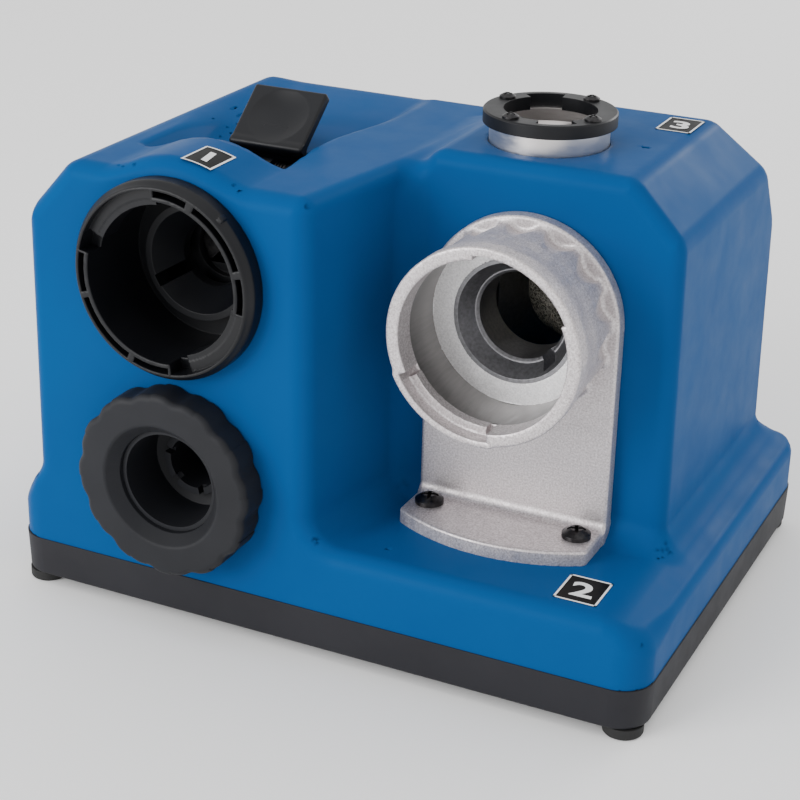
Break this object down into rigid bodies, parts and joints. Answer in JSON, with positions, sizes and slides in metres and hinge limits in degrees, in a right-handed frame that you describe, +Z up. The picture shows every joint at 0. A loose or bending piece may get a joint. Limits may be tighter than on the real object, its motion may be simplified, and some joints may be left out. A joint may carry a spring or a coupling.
{
  "type": "drill bit sharpener",
  "caption": "Bench-top electric drill bit sharpener: blue moulded housing on a black tray, with alignment, sharpening and point-splitting ports and a stored drill chuck.",
  "frame": {"origin": "centre of the object's footprint, on the surface that the rubber feet stand on", "axes": "+X to the operator's right, +Y to the back, +Z up"},
  "size_m": [0.2464, 0.2092, 0.1849],
  "materials": {
    "housing_blue": "satin moulded plastic",
    "tray_black": "fine-textured moulded plastic",
    "rubber_black": "moulded rubber",
    "steel": "plain steel",
    "black_screw": "black oxide",
    "cast_alloy": "blasted die casting",
    "turned_alloy": "machined",
    "black_plastic": "satin moulded plastic",
    "grit": "diamond grit on steel",
    "copper_brass": "turned copper",
    "magnet_dark": "sintered",
    "board_green": "coated board",
    "label_print": "printed film label, white on black"
  },
  "bodies": {
    "base": {"upper_housing": "housing_blue", "base_tray": "tray_black", "rubber_feet": "rubber_black", "tray_screws": "steel", "lever_pin": "steel", "lever_spring": "steel", "motor_can": "steel", "motor_mount": "steel", "motor_screws": "steel", "mount_screws": "steel", "motor_bearings": "steel", "bracket_screws": "black_screw", "ring_screws": "black_screw", "sharpening_bracket": "cast_alloy", "sharpening_bush": "turned_alloy", "splitting_tube": "turned_alloy", "jaw_guide": "black_plastic", "lever_bracket": "black_plastic", "splitting_ring": "black_plastic", "alignment_ring": "black_plastic", "alignment_cone": "black_plastic", "storage_socket": "black_plastic", "cable_gland": "black_plastic", "switch_housing": "black_plastic", "motor_end_cap": "black_plastic", "capacitor": "black_plastic", "bridge_rectifier": "black_plastic", "mount_posts": "black_plastic", "board_posts": "black_plastic", "motor_magnets": "magnet_dark", "motor_brushes": "magnet_dark", "circuit_board": "board_green", "terminal_block": "board_green", "port_label_1": "label_print", "port_label_2": "label_print", "port_label_3": "label_print"},
    "spindle": {"grinding_wheel": "grit", "wheel_flange": "steel", "wheel_nut": "steel", "spindle_shaft": "steel", "rotor_core": "steel", "commutator": "copper_brass"},
    "lever": {"lever": "black_plastic"},
    "jaw_left": {"alignment_jaw_left": "steel"},
    "jaw_right": {"alignment_jaw_right": "steel"},
    "chuck": {"chuck_body": "black_plastic"},
    "knob": {"chuck_knob": "black_plastic"},
    "collet": {"chuck_collet": "black_plastic"},
    "power_rocker": {"switch_rocker": "black_plastic"}
  },
  "joints": [
    {"name": "spindle_spin", "type": "hinge", "parent": "base", "child": "spindle", "pos_m": [0.0628, 0.00988, 0.121], "axis": [0.8572, -0.515, 0], "continuous": true},
    {"name": "lever_press", "type": "hinge", "parent": "base", "child": "lever", "pos_m": [-0.0512, -0.031, 0.153], "axis": [-1, 0, 0], "range_deg": [0, 16], "stiffness_Nm_per_rad": 0.5, "springref_deg": -17.19},
    {"name": "jaw_left_open", "type": "slide", "parent": "base", "child": "jaw_left", "axis": [-1, 0, 0], "range_m": [0, 0.003]},
    {"name": "jaw_right_open", "type": "slide", "parent": "base", "child": "jaw_right", "axis": [1, 0, 0], "range_m": [0, 0.003]},
    {"name": "chuck_pull", "type": "slide", "parent": "base", "child": "chuck", "axis": [0, -1, 0], "range_m": [0, 0.075]},
    {"name": "knob_turn", "type": "hinge", "parent": "chuck", "child": "knob", "pos_m": [-0.0512, -0.0985, 0.0593], "axis": [0, 1, 0], "range_deg": [0, 360]},
    {"name": "collet_draw", "type": "slide", "parent": "chuck", "child": "collet", "axis": [0, 1, 0], "range_m": [0, 0.0016]},
    {"name": "rocker_press", "type": "hinge", "parent": "base", "child": "power_rocker", "pos_m": [-0.062, 0.079, 0.072], "axis": [1, 0, 0], "range_deg": [0, 22]}
  ],
  "couplings": [
    {"joint": "jaw_left_open", "follows": "lever_press", "m_per_rad": 0.0107},
    {"joint": "jaw_right_open", "follows": "lever_press", "m_per_rad": 0.0107},
    {"joint": "collet_draw", "follows": "knob_turn", "m_per_rad": 0.00023873}
  ]
}
